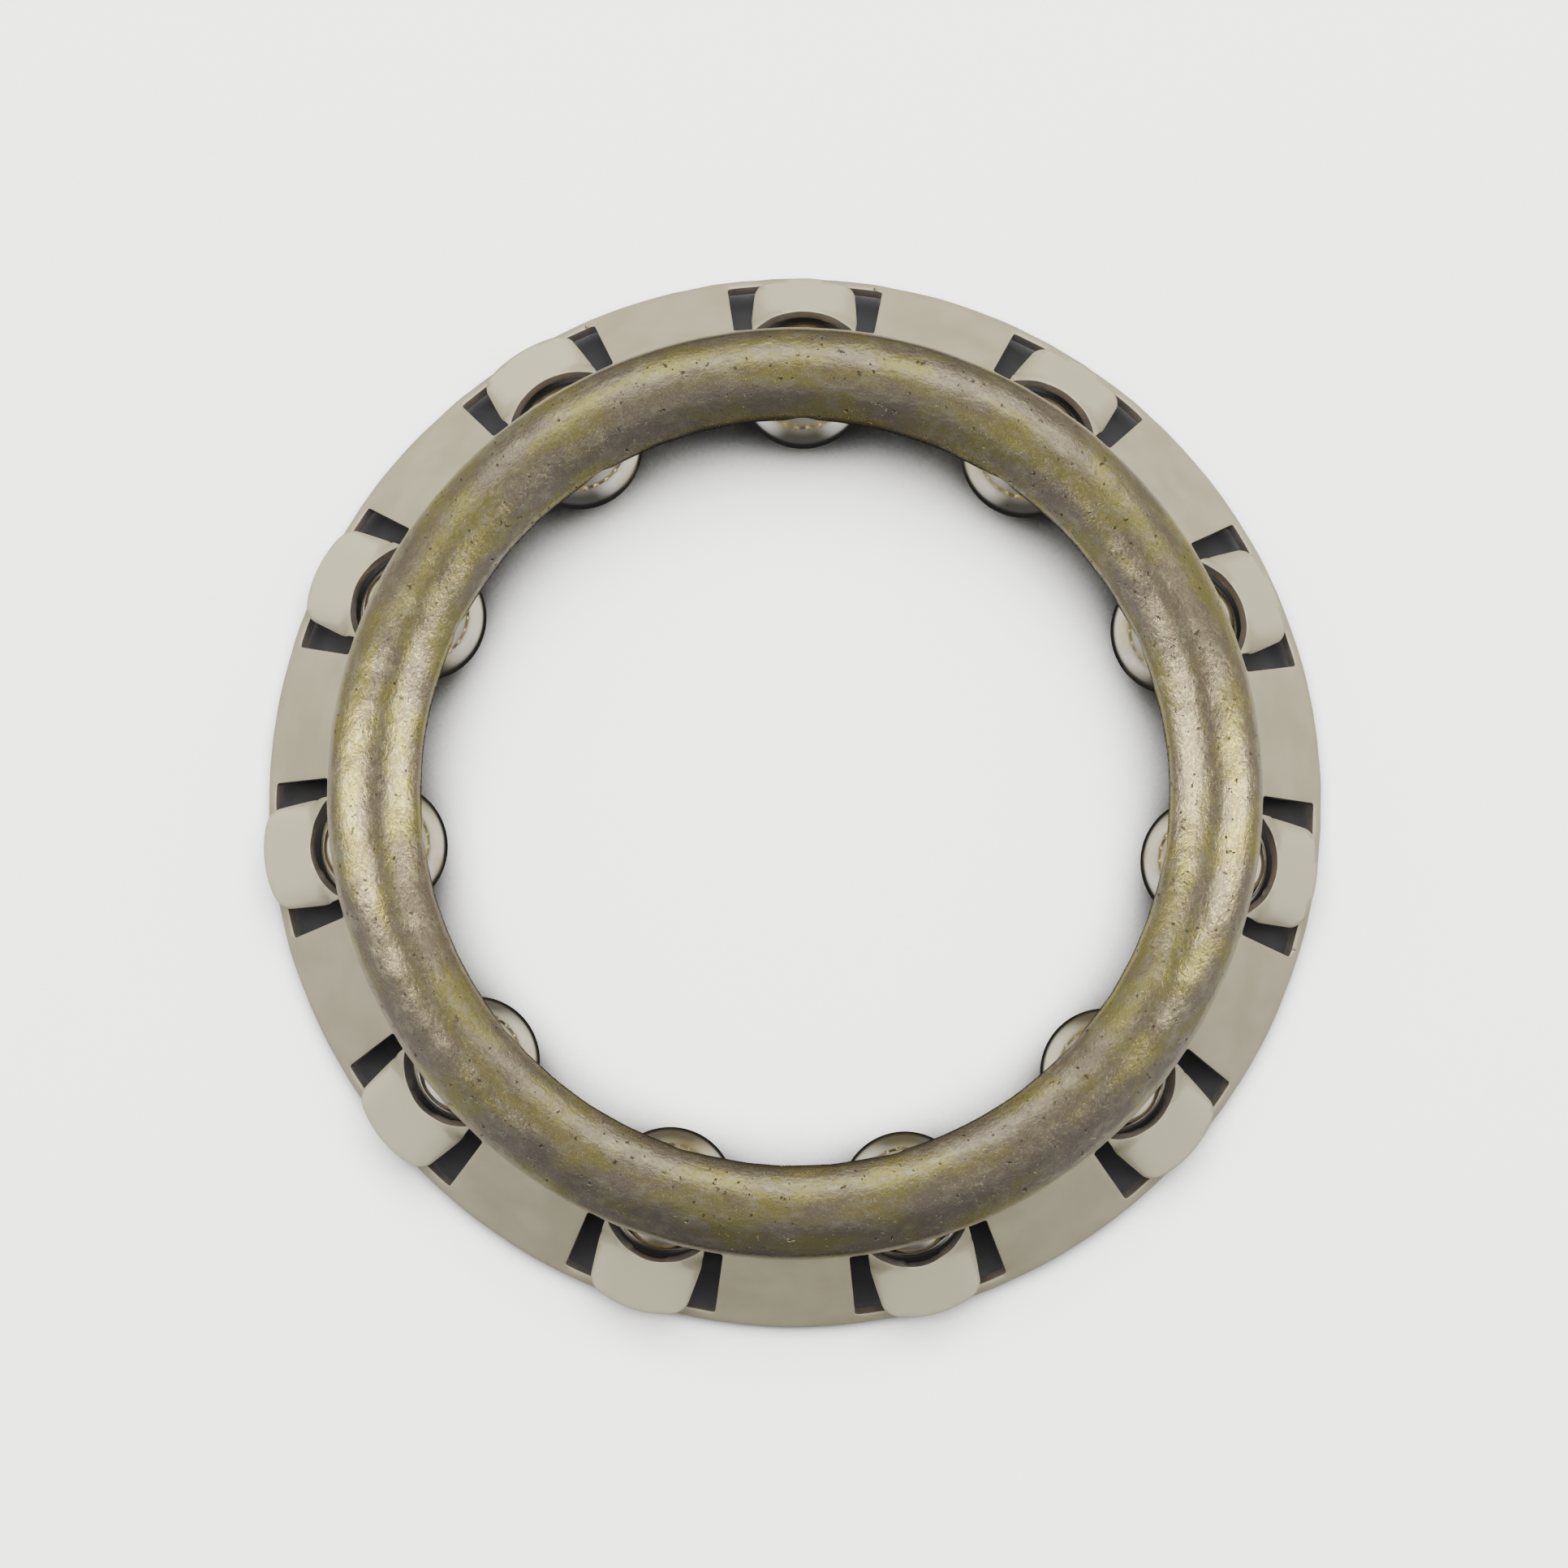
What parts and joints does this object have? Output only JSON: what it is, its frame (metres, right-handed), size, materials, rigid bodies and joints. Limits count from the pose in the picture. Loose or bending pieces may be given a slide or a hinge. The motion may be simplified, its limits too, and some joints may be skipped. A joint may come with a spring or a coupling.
{
  "type": "thrust ball bearing",
  "caption": "Caged ball ring of a thrust bearing: loose balls held in a pressed-steel ring with a round bead, a steep conical skirt and a flared tab at each ball.",
  "frame": {"origin": "on the ring's axis, in the plane that the undersides of the balls touch", "axes": "+Z along the ring's axis, from the open side of the balls towards the crest of the bead; +Y runs from the axis through the first ball"},
  "size_m": [0.0527, 0.0527, 0.0072],
  "materials": {
    "pressed_steel": "satin, plated and lightly pitted, with a warm cast on the bead",
    "ball_steel": "polished"
  },
  "bodies": {
    "retainer": {"retainer": "pressed_steel"},
    "ball_01": {"ball_01": "ball_steel"},
    "ball_02": {"ball_02": "ball_steel"},
    "ball_03": {"ball_03": "ball_steel"},
    "ball_04": {"ball_04": "ball_steel"},
    "ball_05": {"ball_05": "ball_steel"},
    "ball_06": {"ball_06": "ball_steel"},
    "ball_07": {"ball_07": "ball_steel"},
    "ball_08": {"ball_08": "ball_steel"},
    "ball_09": {"ball_09": "ball_steel"},
    "ball_10": {"ball_10": "ball_steel"},
    "ball_11": {"ball_11": "ball_steel"}
  },
  "joints": [
    {"name": "ball_01_roll", "type": "hinge", "parent": "retainer", "child": "ball_01", "pos_m": [0, 0.0206, 0.00317], "axis": [0, 1, 0], "continuous": true},
    {"name": "ball_02_roll", "type": "hinge", "parent": "retainer", "child": "ball_02", "pos_m": [0.01114, 0.01733, 0.00317], "axis": [0.5406, 0.8413, 0], "continuous": true},
    {"name": "ball_03_roll", "type": "hinge", "parent": "retainer", "child": "ball_03", "pos_m": [0.01874, 0.00856, 0.00317], "axis": [0.9096, 0.4154, 0], "continuous": true},
    {"name": "ball_04_roll", "type": "hinge", "parent": "retainer", "child": "ball_04", "pos_m": [0.02039, -0.00293, 0.00317], "axis": [0.9898, -0.1423, 0], "continuous": true},
    {"name": "ball_05_roll", "type": "hinge", "parent": "retainer", "child": "ball_05", "pos_m": [0.01557, -0.01349, 0.00317], "axis": [0.7557, -0.6549, 0], "continuous": true},
    {"name": "ball_06_roll", "type": "hinge", "parent": "retainer", "child": "ball_06", "pos_m": [0.0058, -0.01977, 0.00317], "axis": [0.2817, -0.9595, 0], "continuous": true},
    {"name": "ball_07_roll", "type": "hinge", "parent": "retainer", "child": "ball_07", "pos_m": [-0.0058, -0.01977, 0.00317], "axis": [-0.2817, -0.9595, 0], "continuous": true},
    {"name": "ball_08_roll", "type": "hinge", "parent": "retainer", "child": "ball_08", "pos_m": [-0.01557, -0.01349, 0.00317], "axis": [-0.7557, -0.6549, 0], "continuous": true},
    {"name": "ball_09_roll", "type": "hinge", "parent": "retainer", "child": "ball_09", "pos_m": [-0.02039, -0.00293, 0.00317], "axis": [-0.9898, -0.1423, 0], "continuous": true},
    {"name": "ball_10_roll", "type": "hinge", "parent": "retainer", "child": "ball_10", "pos_m": [-0.01874, 0.00856, 0.00317], "axis": [-0.9096, 0.4154, 0], "continuous": true},
    {"name": "ball_11_roll", "type": "hinge", "parent": "retainer", "child": "ball_11", "pos_m": [-0.01114, 0.01733, 0.00317], "axis": [-0.5406, 0.8413, 0], "continuous": true}
  ]
}
